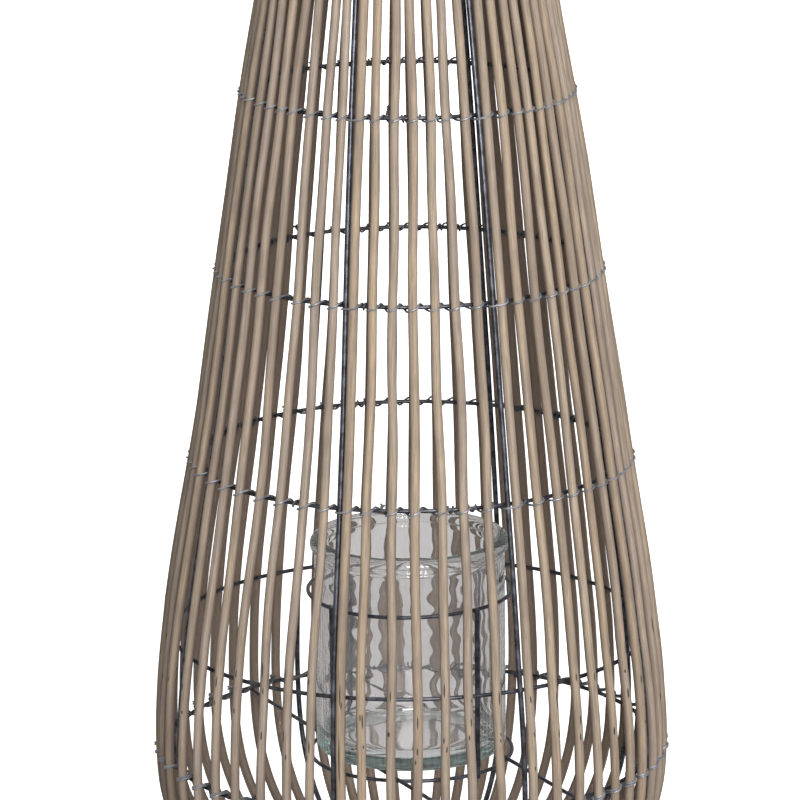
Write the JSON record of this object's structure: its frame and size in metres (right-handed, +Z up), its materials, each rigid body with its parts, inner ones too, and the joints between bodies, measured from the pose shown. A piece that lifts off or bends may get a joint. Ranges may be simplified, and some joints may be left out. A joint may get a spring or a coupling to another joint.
{
  "type": "cane lantern",
  "caption": "Tall pear-shaped floor lantern of slim canes tied to steel wire hoops, with a lift-out glass candle pot in a wire holder and a folding wire bail.",
  "frame": {"origin": "middle of the foot ring, on the surface that the lantern stands on", "axes": "+Z up along the lantern's axis; the front faces -Y, and the bail turns about X"},
  "size_m": [0.316, 0.316, 0.7089],
  "materials": {
    "cane": "peeled willow cane, weathered grey brown, matt",
    "frame_wire": "dark slate lacquered steel wire, satin",
    "binding_wire": "thin annealed tying wire, blue grey, dull",
    "glass": "clear thick pressed glass with a faint green tint, wavy"
  },
  "bodies": {
    "lantern": {"belly_hoop": "frame_wire", "canes_1_a": "cane", "canes_1_b": "cane", "canes_1_c": "cane", "canes_2_a": "cane", "canes_2_b": "cane", "canes_2_c": "cane", "canes_3_a": "cane", "canes_3_b": "cane", "canes_3_c": "cane", "canes_4_a": "cane", "canes_4_b": "cane", "canes_4_c": "cane", "canes_5_a": "cane", "canes_5_b": "cane", "canes_5_c": "cane", "canes_6_a": "cane", "canes_6_b": "cane", "canes_6_c": "cane", "canes_7_a": "cane", "canes_7_b": "cane", "canes_7_c": "cane", "canes_8_a": "cane", "canes_8_b": "cane", "canes_8_c": "cane", "cross_wire_1": "frame_wire", "cross_wire_2": "frame_wire", "eyelet_1": "frame_wire", "eyelet_2": "frame_wire", "foot_binding": "binding_wire", "foot_ring": "frame_wire", "holder_lower_hoop": "frame_wire", "holder_post_1": "frame_wire", "holder_post_2": "frame_wire", "holder_post_3": "frame_wire", "holder_post_4": "frame_wire", "holder_upper_hoop": "frame_wire", "lower_binding": "binding_wire", "lower_hoop": "frame_wire", "middle_binding": "binding_wire", "middle_hoop": "frame_wire", "mouth_binding": "binding_wire", "mouth_hoop": "frame_wire", "neck_binding": "binding_wire", "neck_hoop": "frame_wire", "upper_binding": "binding_wire", "upper_hoop": "frame_wire", "upright_1": "frame_wire", "upright_2": "frame_wire", "upright_3": "frame_wire", "upright_4": "frame_wire", "upright_5": "frame_wire", "upright_6": "frame_wire", "upright_7": "frame_wire", "upright_8": "frame_wire", "widest_binding": "binding_wire", "widest_hoop": "frame_wire"},
    "glass": {"glass_insert": "glass"},
    "handle": {"bail": "frame_wire"}
  },
  "joints": [
    {"name": "glass_lift", "type": "slide", "parent": "lantern", "child": "glass", "axis": [0, 0, 1], "range_m": [0, 0.65]},
    {"name": "bail_hinge", "type": "hinge", "parent": "lantern", "child": "handle", "pos_m": [0.0018, 0, 0.705], "axis": [1, 0, 0], "range_deg": [0, 244]}
  ]
}
